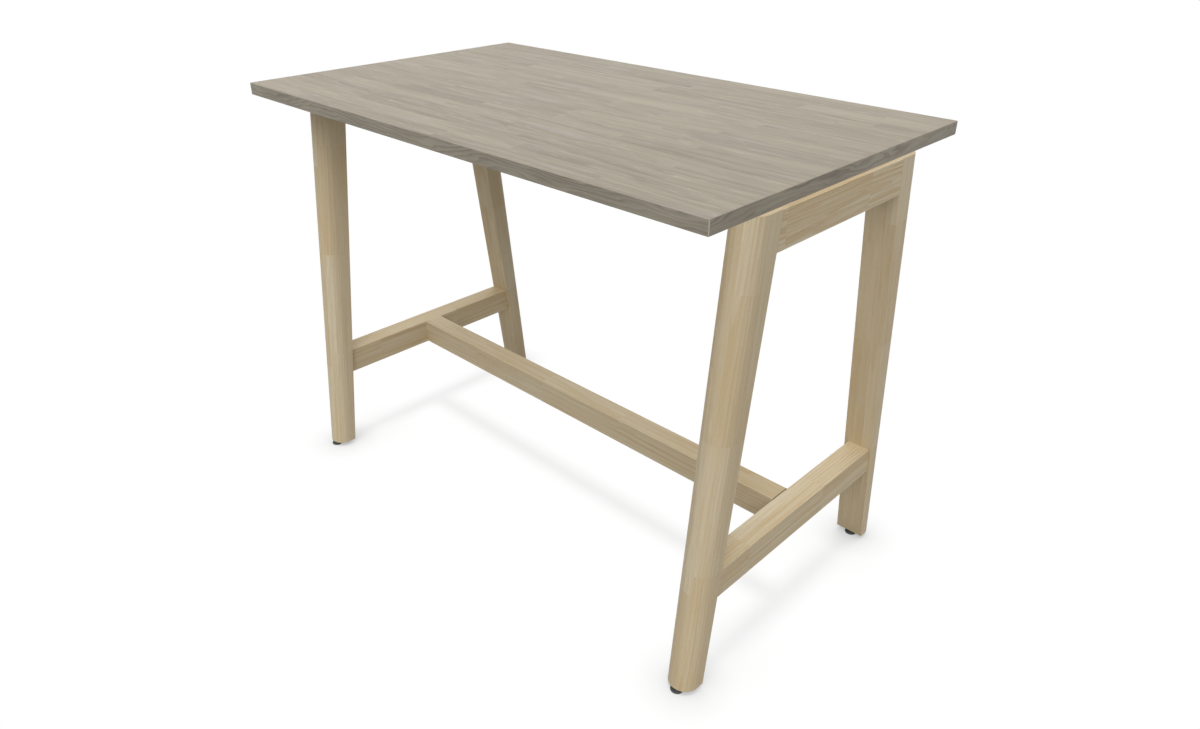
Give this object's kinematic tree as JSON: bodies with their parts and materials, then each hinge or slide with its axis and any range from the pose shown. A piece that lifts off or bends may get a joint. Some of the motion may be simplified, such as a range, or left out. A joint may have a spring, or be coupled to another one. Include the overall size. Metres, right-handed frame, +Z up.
{
  "type": "high table",
  "caption": "Rectangular bar-height table: stained stave-built top on leaning timber end frames tied by a long foot rail, on levelling feet.",
  "frame": {"origin": "on the floor, below the middle of the tabletop", "axes": "+X along the tabletop's length to the right seen from the front, -Y to the front, +Z up"},
  "size_m": [1.4, 0.823, 1.05],
  "materials": {
    "top_board": "grey-stained stave board, matt lacquer",
    "frame_timber": "light oiled ash",
    "zinc_steel": "zinc plated",
    "foot_steel": "dark zinc plated",
    "foot_plastic": "moulded nylon, fine matt grain"
  },
  "bodies": {
    "table": {"tabletop": "top_board", "long_stretcher": "frame_timber", "pocket_covers": "frame_timber", "joint_studs": "zinc_steel", "joint_washers": "zinc_steel", "joint_nuts": "zinc_steel", "top_rail_left": "frame_timber", "top_batten_left": "frame_timber", "cross_stretcher_left": "frame_timber", "top_bolts_left": "zinc_steel", "top_inserts_left": "zinc_steel", "foot_inserts_left": "zinc_steel", "top_rail_right": "frame_timber", "top_batten_right": "frame_timber", "cross_stretcher_right": "frame_timber", "top_bolts_right": "zinc_steel", "top_inserts_right": "zinc_steel", "foot_inserts_right": "zinc_steel", "leg_front_left": "frame_timber", "leg_back_left": "frame_timber", "leg_front_right": "frame_timber", "leg_back_right": "frame_timber"},
    "glide_front_left": {"foot_base_front_left": "foot_plastic"},
    "stem_front_left": {"foot_stem_front_left": "foot_steel"},
    "glide_back_left": {"foot_base_back_left": "foot_plastic"},
    "stem_back_left": {"foot_stem_back_left": "foot_steel"},
    "glide_front_right": {"foot_base_front_right": "foot_plastic"},
    "stem_front_right": {"foot_stem_front_right": "foot_steel"},
    "glide_back_right": {"foot_base_back_right": "foot_plastic"},
    "stem_back_right": {"foot_stem_back_right": "foot_steel"}
  },
  "joints": [
    {"name": "level_front_left", "type": "slide", "parent": "table", "child": "glide_front_left", "axis": [0, 0, -1], "range_m": [0, 0.01]},
    {"name": "turn_front_left", "type": "hinge", "parent": "glide_front_left", "child": "stem_front_left", "pos_m": [-0.6595, -0.36713, 0.0101], "axis": [0, 0, -1], "range_deg": [0, 2880]},
    {"name": "level_back_left", "type": "slide", "parent": "table", "child": "glide_back_left", "axis": [0, 0, -1], "range_m": [0, 0.01]},
    {"name": "turn_back_left", "type": "hinge", "parent": "glide_back_left", "child": "stem_back_left", "pos_m": [-0.6595, 0.33663, 0.0101], "axis": [0, 0, -1], "range_deg": [0, 2880]},
    {"name": "level_front_right", "type": "slide", "parent": "table", "child": "glide_front_right", "axis": [0, 0, -1], "range_m": [0, 0.01]},
    {"name": "turn_front_right", "type": "hinge", "parent": "glide_front_right", "child": "stem_front_right", "pos_m": [0.6595, -0.36713, 0.0101], "axis": [0, 0, -1], "range_deg": [0, 2880]},
    {"name": "level_back_right", "type": "slide", "parent": "table", "child": "glide_back_right", "axis": [0, 0, -1], "range_m": [0, 0.01]},
    {"name": "turn_back_right", "type": "hinge", "parent": "glide_back_right", "child": "stem_back_right", "pos_m": [0.6595, 0.33663, 0.0101], "axis": [0, 0, -1], "range_deg": [0, 2880]}
  ],
  "couplings": [
    {"joint": "turn_front_left", "follows": "level_front_left", "rad_per_m": 5026.5},
    {"joint": "turn_back_left", "follows": "level_back_left", "rad_per_m": 5026.5},
    {"joint": "turn_front_right", "follows": "level_front_right", "rad_per_m": 5026.5},
    {"joint": "turn_back_right", "follows": "level_back_right", "rad_per_m": 5026.5}
  ]
}
